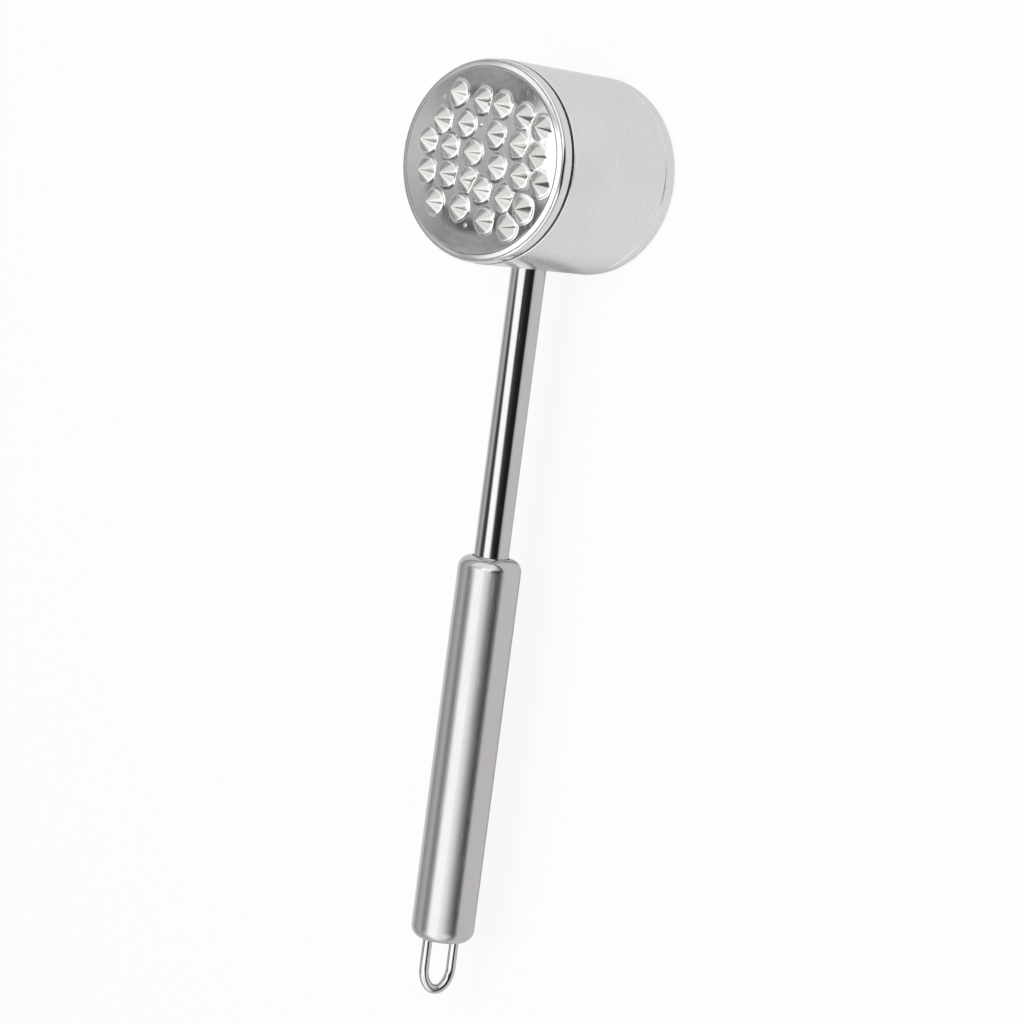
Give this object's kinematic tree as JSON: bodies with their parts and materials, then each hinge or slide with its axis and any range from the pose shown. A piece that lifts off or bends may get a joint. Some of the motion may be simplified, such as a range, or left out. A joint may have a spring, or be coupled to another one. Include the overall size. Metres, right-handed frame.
{
  "type": "meat mallet",
  "caption": "Meat mallet with a round steel head, one face toothed and one flat, a slim polished stem, a round satin handle and a wire hanging loop.",
  "frame": {"origin": "centre of the flat striking face, which the mallet stands on", "axes": "+Z along the head's axis from the flat face to the toothed face; the stem, handle and hanging loop run along -X"},
  "size_m": [0.2991, 0.0636, 0.0649],
  "materials": {
    "satin_steel": "satin stainless steel with fine grinding lines",
    "pressed_steel": "bright pressed stainless steel sheet",
    "turned_steel": "turned steel",
    "cast_aluminium": "rough casting, hidden inside the head",
    "polished_steel": "mirror-polished stainless steel",
    "sleeve_plastic": "dark plastic, hidden inside the handle"
  },
  "bodies": {
    "root": {"head_tube": "satin_steel", "flat_face_cap": "satin_steel", "toothed_face_cap": "pressed_steel", "backing_disc": "turned_steel", "head_core": "cast_aluminium", "stem_pin": "turned_steel", "stem": "polished_steel", "handle_tube": "satin_steel", "handle_top_cap": "satin_steel", "handle_end_cap": "satin_steel", "stem_sleeve": "sleeve_plastic", "hanging_loop": "polished_steel"}
  },
  "joints": []
}
